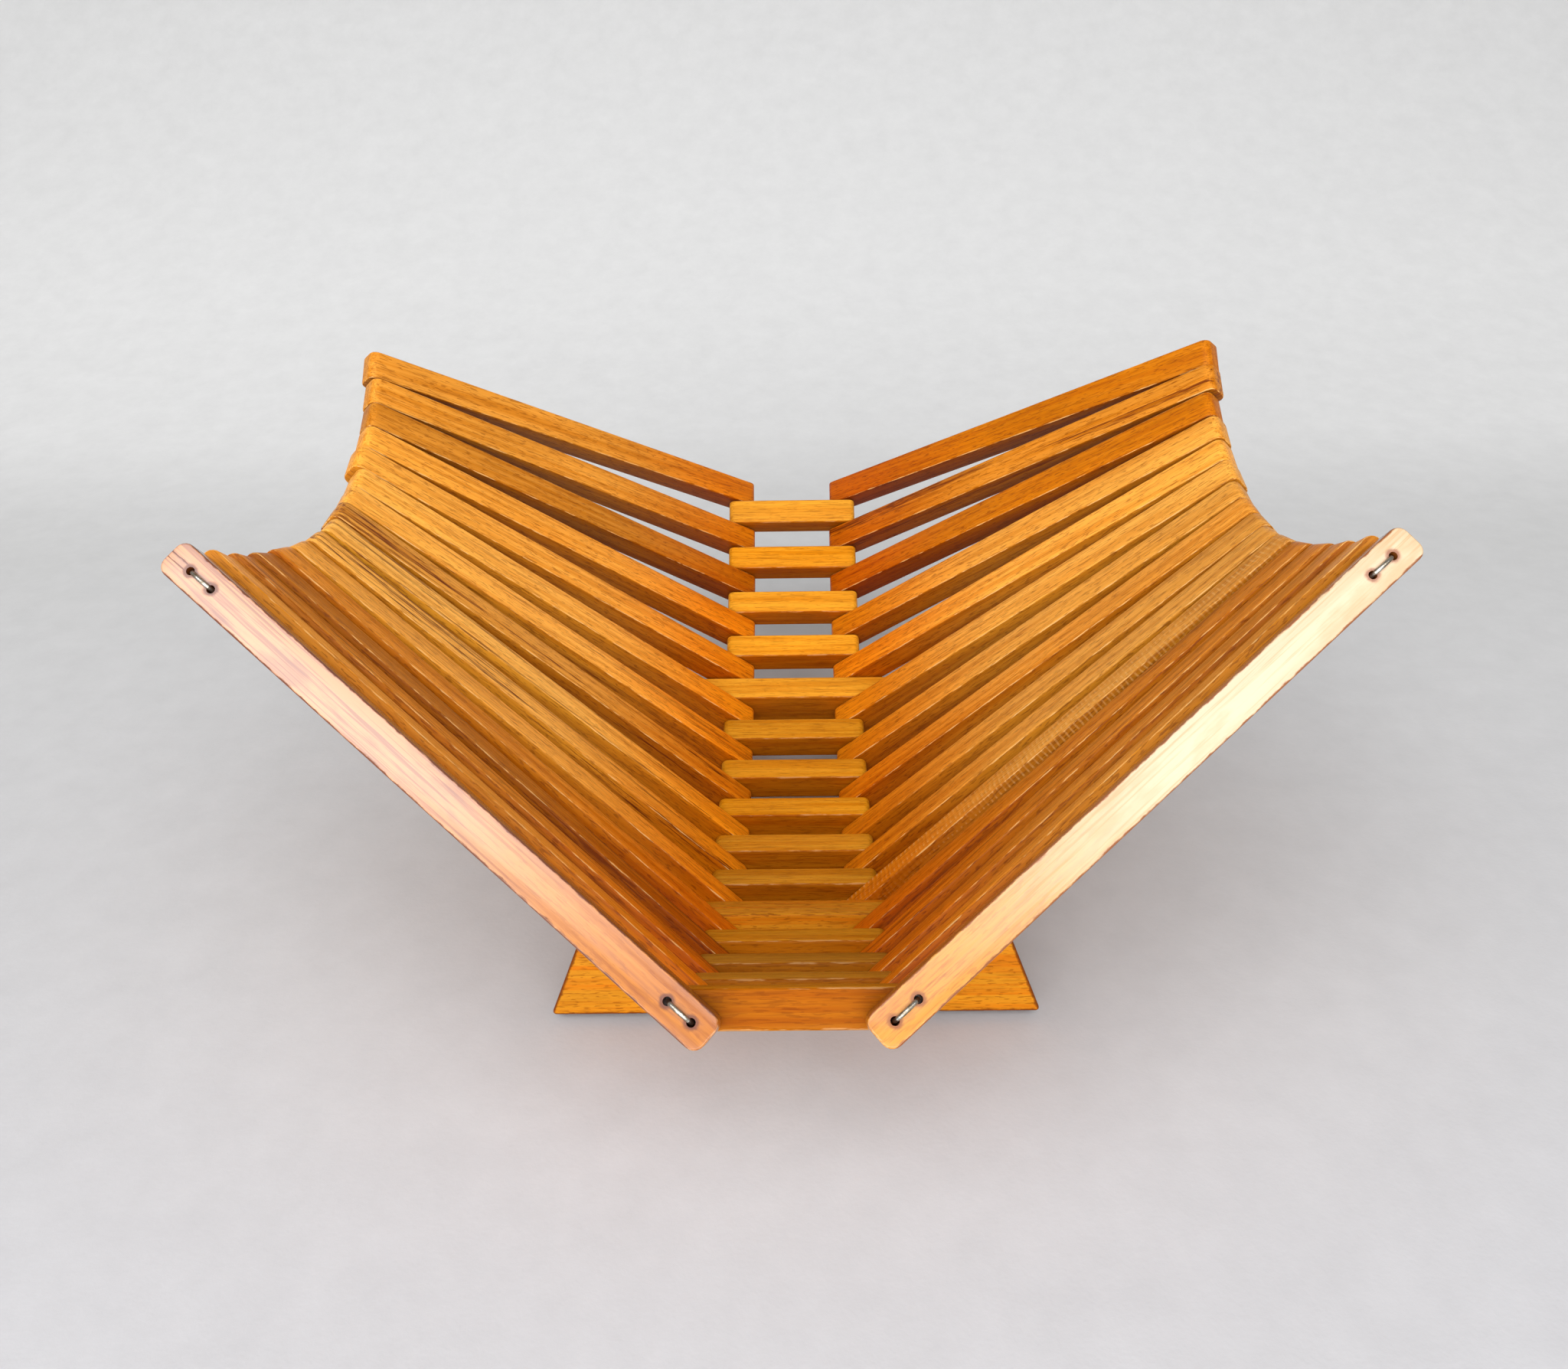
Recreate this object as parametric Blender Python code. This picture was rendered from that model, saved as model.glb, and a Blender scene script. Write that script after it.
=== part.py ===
"""Collapsible wooden basket: two wings of slats that fold up on a curved spine.

Lengths are in metres. +X is the right of the basket, -Y its front and +Z up. The origin is on
the table, under the basket's middle. The wing slats and the spine's cross pieces stand in
planes through one level line, the arc's centre line, which lies along X above the basket.
"""

import math

import bmesh
import bpy
from mathutils import Matrix, Vector

# Wing slats
WING_SLATS = 16  # in each wing
WING_LENGTH = 0.1625
WING_WIDTH = 0.0090
WING_THICKNESS = 0.0096  # along the spine
HINGE_HOLE_INSET = 0.0051  # from a slat's lower end to its hinge wire
TIP_HOLE_INSET = 0.0068  # from a slat's upper end to its tip wire

# The slats' upper ends are uneven: what each adds to its length, as a share of the tip hole's
# inset, from the front to the rear
LEFT_TIP_SHARES = (
    0.00, 0.06, 0.15, 0.22, 0.24, 0.16, 0.06, -0.04, 0.06, 0.00, -0.06, 0.18, 0.00, -0.04, -0.06, 0.03,
)
RIGHT_TIP_SHARES = (
    0.00, 0.06, 0.12, 0.13, 0.06, 0.00, -0.05, 0.03, 0.00, -0.04, 0.05, 0.00, 0.03, -0.07, 0.15, 0.00,
)

# The inner slats' holes lie below the middle of their width, so those slats stand higher on the wires
# than the outermost ones: by how much at the tip wire, from the front to the rear
LEFT_LIFTS = (
    0, 0.0012, 0.0016, 0.0020, 0.0022, 0.0018, 0.0018, 0.0022,
    0.0022, 0.0022, 0.0022, 0.0020, 0.0020, 0.0019, 0.0012, 0,
)
RIGHT_LIFTS = (
    0, 0.0011, 0.0015, 0.0015, 0.0014, 0.0014, 0.0008, 0.0002,
    0.0003, 0.0004, 0.0008, 0.0009, 0.0013, 0.0016, 0.0014, 0,
)
HINGE_SHARE = 0.5  # of that, at the hinge wire

# Cross slats and foot boards
CROSS_HEIGHT = 0.0092
CROSS_THICKNESS = 0.0100  # along the spine
CROSS_OVERHANG = 0.0040  # from a hinge wire to the cross slat's end
FOOT_TOP_WIDTH = 0.1160
FOOT_BOTTOM_WIDTH = 0.1402
FOOT_HEIGHT = 0.0306
FOOT_PLACE = 3  # cross pieces from the middle of the spine to a foot board

# How they stand together
HINGE_SPREAD = 0.0422  # between the two hinge wires
HINGE_DROP = 0.0022  # hinge wire below the middle of a cross slat's height
WING_ANGLE = math.radians(42.8)  # of a wing above the level, in the middle of the basket
END_DROOP = math.radians(1.65)  # less than that at the outermost slats
DROOP_POWER = 1.5  # how sharply the droop sets in towards the ends
LEFT_BOW = math.radians(0.4)  # how much steeper the middle of the left wing stands
SPINE_GAP = 0.0005  # between a wing slat and a cross piece, at the cross piece's upper edge
TIP_GAP = 0.0006  # between neighbouring wing slats, at their upper ends

# Wires and their holes
WIRE_RADIUS = 0.00055
HOLE_CLEARANCE = 0.00045  # round the wire
STAPLE_LENGTH = 0.0066  # from a wire's through hole to the blind hole of its bent end
STAPLE_LEG = 0.0040  # of the bent end inside the blind hole
STAPLE_LIFT = 0.0003  # clearance of the wire above the wood
BLIND_DEPTH = 0.0052
DRILL_OVERRUN = 0.0010  # how far a drill runs past a face

# Edges and facets
WING_CORNER = 0.0020
WING_ROUND = 0.0009
CROSS_CORNER = 0.0014
CROSS_ROUND = 0.0007
CORNER_STEPS = 2
ROUND_SEGMENTS = 2
SMOOTH_ANGLE = math.radians(50)
HOLE_SIDES = 12
WIRE_RESOLUTION = 2
BEND_STEPS = 4

# Colours, as linear red, green and blue
WOOD_TONES = ((0.56, 0.24, 0.06), (0.50, 0.20, 0.05), (0.60, 0.27, 0.08), (0.45, 0.17, 0.04))
WOOD_ROUGHNESS = 0.38
WIRE_TONE = (0.42, 0.40, 0.36)
WIRE_ROUGHNESS = 0.32

# The arc's pitch angle and radius follow from how tightly the pieces stack, both at the cross
# pieces' upper edges and at the wing slats' upper ends
SLAT_REACH = WING_LENGTH - HINGE_HOLE_INSET
TIP_WIRE_REACH = SLAT_REACH - TIP_HOLE_INSET
TIP_RISE = SLAT_REACH * math.sin(WING_ANGLE) + WING_WIDTH / 2 * math.cos(WING_ANGLE)
CROSS_RISE = HINGE_DROP + CROSS_HEIGHT / 2
PITCH_ANGLE = (CROSS_THICKNESS + 2 * SPINE_GAP - TIP_GAP) / (TIP_RISE - CROSS_RISE)
HINGE_RADIUS = CROSS_RISE + (WING_THICKNESS + CROSS_THICKNESS + 2 * SPINE_GAP) / PITCH_ANGLE
CROSS_RADIUS = HINGE_RADIUS - HINGE_DROP
CROSS_LENGTH = HINGE_SPREAD + 2 * CROSS_OVERHANG
END_PLACE = (WING_SLATS - 1) / 2
HOLE_RADIUS = WIRE_RADIUS + HOLE_CLEARANCE
BEND_RADIUS = WIRE_RADIUS + STAPLE_LIFT

# The foot boards rest on the lower edges that face each other
FOOT_SOLE_RADIUS = CROSS_RADIUS - CROSS_HEIGHT / 2 + FOOT_HEIGHT
FOOT_ANGLE = FOOT_PLACE * PITCH_ANGLE
CENTRE_HEIGHT = (
    FOOT_SOLE_RADIUS * math.cos(FOOT_ANGLE)
    + (CROSS_THICKNESS / 2 - CROSS_ROUND) * math.sin(FOOT_ANGLE)
)


def clear_scene():
    for obj in list(bpy.data.objects):
        bpy.data.objects.remove(obj, do_unlink=True)


def principled(name, tone, roughness, metallic):
    material = bpy.data.materials.new(name)
    material.use_nodes = True
    shader = material.node_tree.nodes["Principled BSDF"]
    shader.inputs["Base Color"].default_value = (*tone, 1)
    shader.inputs["Roughness"].default_value = roughness
    shader.inputs["Metallic"].default_value = metallic
    material.diffuse_color = (*tone, 1)
    return material


def add_object(name, data, material, parent=None):
    data.materials.clear()
    data.materials.append(material)
    obj = bpy.data.objects.new(name, data)
    obj.parent = parent
    bpy.context.scene.collection.objects.link(obj)
    return obj


def section_at(place):
    """The frame of the plane this many pitches behind the middle, on the arc's centre line."""
    turn = Matrix.Rotation(place * PITCH_ANGLE, 4, "X")
    return Matrix.Translation((0, 0, CENTRE_HEIGHT)) @ turn


def add_section(name, place):
    """An empty that carries the piece standing in that plane."""
    empty = bpy.data.objects.new(f"section_{name}", None)
    empty.matrix_world = section_at(place)
    bpy.context.scene.collection.objects.link(empty)
    return empty


def wing_angle(side, place):
    """How steeply the wires' holes rise in this plane."""
    share = abs(place / END_PLACE)
    bow = LEFT_BOW if side < 0 else 0
    return WING_ANGLE - END_DROOP * share ** DROOP_POWER + bow * (1 - share ** 2) ** 2


def slat_seat(side, place):
    """A wing slat's frame in its section: origin on the hinge wire, X up the slat, Y through it."""
    turn = Matrix.Rotation(-wing_angle(side, place), 4, "Y")
    if side < 0:
        turn = Matrix.Rotation(math.pi, 4, "Z") @ turn
    return Matrix.Translation((side * HINGE_SPREAD / 2, 0, -HINGE_RADIUS)) @ turn


def rounded(corners, radius):
    """The outline with its corners rounded. The corners run anticlockwise."""
    corners = [Vector(corner) for corner in corners]
    outline = []
    for index, corner in enumerate(corners):
        arriving = (corner - corners[index - 1]).normalized()
        leaving = (corners[(index + 1) % len(corners)] - corner).normalized()
        turn = arriving.angle(leaving)
        start = corner - arriving * radius * math.tan(turn / 2)
        centre = start + Vector((-arriving.y, arriving.x)) * radius
        for step in range(CORNER_STEPS + 1):
            outline.append(centre + Matrix.Rotation(turn * step / CORNER_STEPS, 2) @ (start - centre))
    return outline


def board(outline, thickness, edge_round):
    """A board with this outline in X and Z, its thickness along Y and the rims of its faces rounded."""
    bm = bmesh.new()
    face = bm.faces.new([bm.verts.new((x, -thickness / 2, z)) for x, z in outline])
    extruded = bmesh.ops.extrude_face_region(bm, geom=[face])["geom"]
    moved = [item for item in extruded if isinstance(item, bmesh.types.BMVert)]
    bmesh.ops.translate(bm, verts=moved, vec=(0, thickness, 0))
    bmesh.ops.recalc_face_normals(bm, faces=bm.faces)
    rims = [edge for edge in bm.edges if edge.verts[0].co.y == edge.verts[1].co.y]
    bmesh.ops.bevel(
        bm, geom=rims, offset=edge_round, segments=ROUND_SEGMENTS, profile=0.5, affect="EDGES"
    )
    return bm


def drill(bm, x, z, low, high):
    """Adds a drill along Y at x and z, from low to high."""
    stand = Matrix.Translation((x, (low + high) / 2, z)) @ Matrix.Rotation(math.pi / 2, 4, "X")
    bmesh.ops.create_cone(
        bm, cap_ends=True, segments=HOLE_SIDES, radius1=HOLE_RADIUS, radius2=HOLE_RADIUS,
        depth=high - low, matrix=stand,
    )


def helper(name, bm):
    mesh = bpy.data.meshes.new(name)
    bm.to_mesh(mesh)
    bm.free()
    obj = bpy.data.objects.new(name, mesh)
    bpy.context.scene.collection.objects.link(obj)
    return obj


def drilled_mesh(name, blank, drills):
    """The blank less its drills, with its rounded rims shaded smooth."""
    body = helper(f"{name}_blank", blank)
    cutter = helper(f"{name}_drills", drills)
    cut = body.modifiers.new("holes", "BOOLEAN")
    cut.operation = "DIFFERENCE"
    cut.solver = "EXACT"
    cut.object = cutter
    graph = bpy.context.evaluated_depsgraph_get()
    mesh = bpy.data.meshes.new_from_object(body.evaluated_get(graph))
    mesh.name = name
    for spent in (body, cutter):
        bpy.data.objects.remove(spent, do_unlink=True)
    mesh.shade_smooth()
    mesh.set_sharp_from_angle(angle=SMOOTH_ANGLE)
    return mesh


def lift_tilt(lift):
    """How much more steeply a lifted slat stands than its wires' holes."""
    return lift * (1 - HINGE_SHARE) / TIP_WIRE_REACH


def wing_slat_mesh(name, overhang, lift, blind_side):
    """A wing slat. An outermost one has blind holes too, in the face on the blind side of Y."""
    low, high = -HINGE_HOLE_INSET, TIP_WIRE_REACH + overhang
    base, top = lift * HINGE_SHARE - WING_WIDTH / 2, lift * HINGE_SHARE + WING_WIDTH / 2
    outline = rounded(((low, base), (high, base), (high, top), (low, top)), WING_CORNER)
    face = WING_THICKNESS / 2
    drills = bmesh.new()
    for reach in (0, TIP_WIRE_REACH):
        x, z = reach * math.cos(lift_tilt(lift)), -reach * math.sin(lift_tilt(lift))
        drill(drills, x, z, -face - DRILL_OVERRUN, face + DRILL_OVERRUN)
    if blind_side:
        low, high = sorted((blind_side * (face + DRILL_OVERRUN), blind_side * (face - BLIND_DEPTH)))
        for x in (STAPLE_LENGTH, TIP_WIRE_REACH - STAPLE_LENGTH):
            drill(drills, x, 0, low, high)
    return drilled_mesh(name, board(outline, WING_THICKNESS, WING_ROUND), drills)


def cross_mesh(name, is_foot):
    """A cross slat or a foot board, with its origin in the middle of the cross slats' height."""
    rise = CROSS_HEIGHT / 2
    if is_foot:
        top, bottom, low = FOOT_TOP_WIDTH / 2, FOOT_BOTTOM_WIDTH / 2, rise - FOOT_HEIGHT
    else:
        top, bottom, low = CROSS_LENGTH / 2, CROSS_LENGTH / 2, -rise
    outline = rounded(((-bottom, low), (bottom, low), (top, rise), (-top, rise)), CROSS_CORNER)
    face = CROSS_THICKNESS / 2
    drills = bmesh.new()
    for side in (-1, 1):
        drill(drills, side * HINGE_SPREAD / 2, -HINGE_DROP, -face - DRILL_OVERRUN, face + DRILL_OVERRUN)
    return drilled_mesh(name, board(outline, CROSS_THICKNESS, CROSS_ROUND), drills)


def add_wing(side_name, side, tip_shares, lifts):
    """A wing's slats, from the front to the rear, each with its origin on its hinge."""
    for number, (share, lift) in enumerate(zip(tip_shares, lifts), 1):
        place = number - 1 - END_PLACE
        name = f"slat_{side_name}_{number:02d}"
        outwards = (number == WING_SLATS) - (number == 1)
        # The left wing's slats are turned round, so their Y runs forwards
        mesh = wing_slat_mesh(name, TIP_HOLE_INSET * (1 + share), lift, side * outwards)
        tone = WOOD_TONES[(number + side) % len(WOOD_TONES)]
        section = add_section(name, place)
        obj = add_object(name, mesh, principled(name, tone, WOOD_ROUGHNESS, 0), section)
        seat = slat_seat(side, place) @ Matrix.Rotation(-lift_tilt(lift), 4, "Y")
        obj.location = seat.to_translation()
        obj.rotation_euler = seat.to_euler()


def cross_hinge(place):
    """Where a cross piece turns on its inner neighbour: on the hinge wires, half a pitch inwards."""
    if place == 0:
        return Vector((0, 0, -CROSS_RADIUS))
    inwards = -math.copysign(PITCH_ANGLE / 2, place)
    return Vector((0, HINGE_RADIUS * math.sin(inwards), -HINGE_RADIUS * math.cos(inwards)))


def add_spine():
    """The cross slats and the foot boards, from the front to the rear, each with its origin on its joint."""
    for number in range(1, WING_SLATS):
        place = number - WING_SLATS // 2
        is_foot = abs(place) == FOOT_PLACE
        name = f"cross_slat_{number:02d}"
        if is_foot:
            name = "foot_board_front" if place < 0 else "foot_board_rear"
        mesh = cross_mesh(name, is_foot)
        origin = cross_hinge(place)
        mesh.transform(Matrix.Translation(Vector((0, 0, -CROSS_RADIUS)) - origin))
        tone = WOOD_TONES[number % len(WOOD_TONES)]
        section = add_section(name, place)
        obj = add_object(name, mesh, principled(name, tone, WOOD_ROUGHNESS, 0), section)
        obj.location = origin


def staple(reach, onwards, outwards):
    """A wire's bent end in an outermost slat's frame, from its through hole to the end of its leg."""
    face = WING_THICKNESS / 2
    far = STAPLE_LENGTH - BEND_RADIUS
    bends = [math.pi / 2 * step / BEND_STEPS for step in range(BEND_STEPS + 1)]
    points = [(BEND_RADIUS * (1 - math.cos(turn)), face + BEND_RADIUS * math.sin(turn)) for turn in bends]
    points += [(far + BEND_RADIUS * math.sin(turn), face + BEND_RADIUS * math.cos(turn)) for turn in bends]
    points.append((STAPLE_LENGTH, face - STAPLE_LEG))
    return [Vector((reach + onwards * x, outwards * y, 0)) for x, y in points]


def wire_route(side, reach, onwards):
    """A wire's middle line, from the front staple along the holes to the rear staple."""
    ends = {}
    for end in (-1, 1):
        frame = section_at(end * END_PLACE) @ slat_seat(side, end * END_PLACE)
        ends[end] = [frame @ point for point in staple(reach, onwards, side * end)]
    route = ends[-1][::-1]
    for step in range(2 * WING_SLATS - 1):
        place = step / 2 - END_PLACE
        route.append(section_at(place) @ slat_seat(side, place) @ Vector((reach, 0, 0)))
    return route + ends[1]


def add_wire(name, route):
    curve = bpy.data.curves.new(name, "CURVE")
    curve.dimensions = "3D"
    curve.bevel_depth = WIRE_RADIUS
    curve.bevel_resolution = WIRE_RESOLUTION
    curve.use_fill_caps = True
    spline = curve.splines.new("POLY")
    spline.points.add(len(route) - 1)
    for point, place in zip(spline.points, route):
        point.co = (*place, 1)
    spline.use_smooth = True
    return add_object(name, curve, principled(name, WIRE_TONE, WIRE_ROUGHNESS, 1))


def add_wires():
    """The bent ends of the hinge wires point up the slats, those of the tip wires down."""
    for side_name, side in (("left", -1), ("right", 1)):
        add_wire(f"hinge_wire_{side_name}", wire_route(side, 0, 1))
        add_wire(f"tip_wire_{side_name}", wire_route(side, TIP_WIRE_REACH, -1))


def main():
    clear_scene()
    add_spine()
    add_wing("left", -1, LEFT_TIP_SHARES, LEFT_LIFTS)
    add_wing("right", 1, RIGHT_TIP_SHARES, RIGHT_LIFTS)
    add_wires()
    print(f"pitch {math.degrees(PITCH_ANGLE):.3f} degrees, hinge radius {HINGE_RADIUS:.5f}")


main()
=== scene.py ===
# %% [markdown]
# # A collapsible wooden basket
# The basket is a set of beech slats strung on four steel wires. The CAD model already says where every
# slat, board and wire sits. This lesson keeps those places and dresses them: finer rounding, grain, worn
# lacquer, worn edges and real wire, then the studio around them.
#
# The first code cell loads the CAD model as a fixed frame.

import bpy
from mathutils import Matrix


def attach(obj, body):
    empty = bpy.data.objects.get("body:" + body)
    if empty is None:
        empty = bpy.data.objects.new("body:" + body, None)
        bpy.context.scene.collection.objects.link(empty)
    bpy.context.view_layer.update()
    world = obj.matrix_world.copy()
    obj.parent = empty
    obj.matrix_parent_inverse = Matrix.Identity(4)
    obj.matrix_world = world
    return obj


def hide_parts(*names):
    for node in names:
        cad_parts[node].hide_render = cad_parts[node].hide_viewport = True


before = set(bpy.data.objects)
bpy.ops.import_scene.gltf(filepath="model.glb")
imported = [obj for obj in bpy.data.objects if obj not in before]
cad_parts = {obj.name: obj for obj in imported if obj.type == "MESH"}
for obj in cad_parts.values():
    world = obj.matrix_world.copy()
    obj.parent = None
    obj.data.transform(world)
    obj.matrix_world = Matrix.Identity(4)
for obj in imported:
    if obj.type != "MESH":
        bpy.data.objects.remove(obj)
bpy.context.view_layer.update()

# %% Tools
import math
import random

import bmesh
import bpy
from mathutils import Matrix, Vector

MM = 0.001
scene = bpy.context.scene
print("nodes in the frame:", len(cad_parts))

# %% [markdown]
# # The camera
# A photograph is matched in two steps. First the camera stands where the photographer stood, which sets the
# perspective. Then the lens sets how large everything is. Here the camera looks down by about 31 degrees
# from just in front of the basket, so the front of the basket looks much wider than the rear.

# %% Camera
camera_data = bpy.data.cameras.new("camera")
camera_data.sensor_fit = "HORIZONTAL"
camera_data.sensor_width = 36
camera_data.lens = 28.863
camera = bpy.data.objects.new("camera", camera_data)
look_down, roll, pan = 0.5372, 0.0184, 0.0137  # radians
camera_place = (0.00201, -0.33592, 0.26800)
facing = Matrix.Rotation(pan, 4, "Z") @ Matrix.Rotation(-look_down, 4, "X") @ Matrix.Rotation(roll, 4, "Y")
camera.matrix_world = Matrix.Translation(camera_place) @ facing @ Matrix.Rotation(math.pi / 2, 4, "X")
scene.collection.objects.link(camera)
scene.camera = camera
scene.view_settings.view_transform = "Standard"
print("camera at", [round(value, 3) for value in camera.location], "lens", round(camera_data.lens, 2))

# %% [markdown]
# # How the slats stand
# All slats stand in planes that fan out from one line above the basket, like the pages of an open book. A
# piece is modelled lying straight, in its own small frame, because grain and wear are easiest to think of
# there: X runs along the fibres, Y through the thickness and Z across the width. One matrix then carries it
# to its place. The numbers below are the CAD model's own, so the new pieces land on the old ones.
#
# A wing isn't quite flat. Its outermost slats droop and the middle of the left wing is a little steeper. Many
# slats were also drilled below the middle of their width, more so at the tip, so they stand off the wires'
# line and lean in. That gives each wing its uneven, hand-made surface.

# %% Sizes of the fan
SLATS = 16  # in each wing
PITCH = 0.1005357  # radians from one slat to the next
HINGE_RADIUS = 211.70235 * MM  # from the fan's line down to the hinge wires
CROSS_RADIUS = 209.50235 * MM  # and down to the middle of a cross slat
FAN_HEIGHT = 226.1492 * MM  # of that line above the table
HINGE_SPREAD = 42.2 * MM
WING_ANGLE = math.radians(42.8)
END_DROOP = math.radians(1.65)
LEFT_BOW = math.radians(0.4)
END_PLACE = (SLATS - 1) / 2
TIP_WIRE = 150.6 * MM  # tip wire, from the hinge wire
HINGE_SHARE = 0.5  # of a slat's lift at the tip, what is left of it at the hinge
LIFTS = {  # how far each slat stands off the tip wire's line, from the front to the rear, in millimetres
    "left": (0, 1.2, 1.6, 2.0, 2.2, 1.8, 1.8, 2.2, 2.2, 2.2, 2.2, 2.0, 2.0, 1.9, 1.2, 0),
    "right": (0, 1.1, 1.5, 1.5, 1.4, 1.4, 0.8, 0.2, 0.3, 0.4, 0.8, 0.9, 1.3, 1.6, 1.4, 0),
}


def section(place):
    """The plane this many pitches behind the middle of the basket."""
    return Matrix.Translation((0, 0, FAN_HEIGHT)) @ Matrix.Rotation(place * PITCH, 4, "X")


def lean(lift):
    """How far a lifted slat leans in from the wires' line."""
    return lift * (1 - HINGE_SHARE) / TIP_WIRE


def slat_seat(side, place, lift=0.0):
    """Where a wing slat lies: its origin on the hinge wire, X up the slat."""
    share = abs(place / END_PLACE)
    bow = LEFT_BOW * (1 - share ** 2) ** 2 if side < 0 else 0
    turn = Matrix.Rotation(-(WING_ANGLE - END_DROOP * share ** 1.5 + bow + lean(lift)), 4, "Y")
    if side < 0:
        turn = Matrix.Rotation(math.pi, 4, "Z") @ turn
    return section(place) @ Matrix.Translation((side * HINGE_SPREAD / 2, 0, -HINGE_RADIUS)) @ turn


def cross_seat(place):
    """Where a cross slat or a foot board lies: its origin in the middle of a cross slat's height."""
    return section(place) @ Matrix.Translation((0, 0, -CROSS_RADIUS))


front_hinge = slat_seat(1, -END_PLACE).to_translation()
print("front right hinge at", [round(value, 4) for value in front_hinge])

# %% [markdown]
# # Colours and nodes
# Every material below is a small graph. One helper adds a node, sets what it should do and links its
# inputs, so that a graph reads from top to bottom like a recipe. Colours are written as the hex values that
# an eye or a colour picker sees, and one function turns them to the linear values that light works with.

# %% Helpers for materials


def linear(code):
    """A hex colour such as #D8953F as linear red, green, blue and alpha."""
    values = [int(code[i:i + 2], 16) / 255 for i in (1, 3, 5)]
    return (*[v / 12.92 if v <= 0.04045 else ((v + 0.055) / 1.055) ** 2.4 for v in values], 1)


def add(tree, kind, inputs=None, **settings):
    """Adds a shader node. Inputs are values, or sockets to link."""
    node = tree.nodes.new(f"ShaderNode{kind}")
    for name, value in settings.items():
        setattr(node, name, value)
    for name, value in (inputs or {}).items():
        if isinstance(value, bpy.types.NodeSocket):
            tree.links.new(value, node.inputs[name])
        else:
            node.inputs[name].default_value = value
    return node


def new_material(name):
    """An empty material and its Principled shader."""
    material = bpy.data.materials.new(name)
    material.use_nodes = True
    material.node_tree.nodes.clear()
    shader = add(material.node_tree, "BsdfPrincipled")
    add(material.node_tree, "OutputMaterial", {"Surface": shader.outputs[0]})
    return material, material.node_tree, shader


print("honey is", [round(value, 3) for value in linear("#D8953F")])

# %% [markdown]
# # Lacquered beech
# The sticks are beech under an old clear lacquer that has turned honey yellow. Beech has an even, fine
# grain: soft streaks a millimetre or two wide run along it, and between them lie fine hairs and short dark
# strokes, the rays, two or three millimetres long. All of these can be one kind of noise, stretched along
# the fibres by different amounts. The same noise, wider, also places the clouds in the lacquer, the breaks
# in its worn edges and the long dark stripes.
#
# The material reads four attributes that each stick will carry: "fibre", the position in the stick's own
# frame, "edge", which is 1 along the middle of a rounded edge, "board", which holds where the stick was cut
# from its plank, how light and how red it is, and "marks", which holds how strong its dark stripes are, how
# deep its knife marks are and which of its faces, +Y or -Y, looks to the front. On the spine's pieces, how
# light a piece is also holds painted shade.

# %% Patterns of the wood
PATTERNS = {  # how often each repeats in a metre along, through and across the stick, detail, roughness
    "streak": ((12, 480, 540), 4, 0.6),  # bands 2 mm wide, 80 mm long
    "hair": ((110, 1900, 1900), 2, 0.5),  # fibres drawn 0.5 mm wide, coarser than real, so that they show
    "ray": ((330, 2400, 2400), 1, 0.4),  # strokes 2 to 3 mm long, 0.3 mm thick
    "cloud": ((24, 90, 90), 3, 0.55),  # patches 40 mm long
    "rub": ((130, 900, 900), 3, 0.65),  # breaks in the worn edges, 8 mm long
    "tear": ((9, 430, 430), 3, 0.65),  # dark stripes, up to 90 mm long and 1.5 mm wide
}
PLANK = (0.83, 0.41, 0.59)  # metres of plank that the sticks are cut from, along, through and across


def read_stick(tree):
    """What a material reads from its stick: the attributes, split into their parts."""
    fibre, board, marks = (
        add(tree, "Attribute", attribute_name=name).outputs["Vector"] for name in ("fibre", "board", "marks")
    )
    return {
        "fibre": fibre,
        "spot": add(tree, "SeparateXYZ", {0: fibre}).outputs,
        "own": add(tree, "SeparateXYZ", {0: board}).outputs,
        "marks": add(tree, "SeparateXYZ", {0: marks}).outputs,
        "edge": add(tree, "Attribute", attribute_name="edge").outputs["Fac"],
    }


def plank_patterns(tree, stick):
    """The noises above, each stick at its own spot of the plank."""
    away = add(tree, "VectorMath", {0: PLANK, "Scale": stick["own"][0]}, operation="SCALE").outputs[0]
    plank = add(tree, "VectorMath", {0: stick["fibre"], 1: away}, operation="ADD").outputs[0]
    wood = {}
    for pattern, (repeats, detail, broken) in PATTERNS.items():
        stretched = add(tree, "Mapping", {"Vector": plank, "Scale": repeats}).outputs[0]
        wood[pattern] = add(
            tree, "TexNoise",
            {"Vector": stretched, "Scale": 1, "Detail": detail, "Roughness": broken, "Distortion": 0.3},
        ).outputs[0]
    return wood


print("patterns:", ", ".join(PATTERNS))

# %% [markdown]
# # From pattern to grain
# A noise becomes grain when it is cut into a mask that lets a darker colour in. The broad bands have a soft
# cut, so they melt into one another. The rays are cut off high, so that only the peaks are left, as short
# strokes with clean wood between them.

# %% Grain


def grain(tree, wood, light, dark, fleck, rays):
    """The grain's colour, and the mask of the rays."""
    steps = (  # pattern, where its mask begins and ends, how strong it is, the colour that it lets in
        ("streak", 0.38, 0.66, 1.0, linear(dark)),
        ("hair", 0.5, 0.72, 0.42, linear(fleck)),
        ("ray", 0.59, 0.65, rays, linear(fleck)),
    )
    colour = linear(light)
    for pattern, low, high, most, tint in steps:
        mask = add(
            tree, "MapRange", {"Value": wood[pattern], "From Min": low, "From Max": high, "To Max": most},
            interpolation_type="SMOOTHSTEP",
        ).outputs[0]
        colour = add(tree, "Mix", {0: mask, 6: colour, 7: tint}, data_type="RGBA").outputs[2]
    return colour, mask


print("the grain has a light colour, a dark one and one for hairs and rays")
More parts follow.
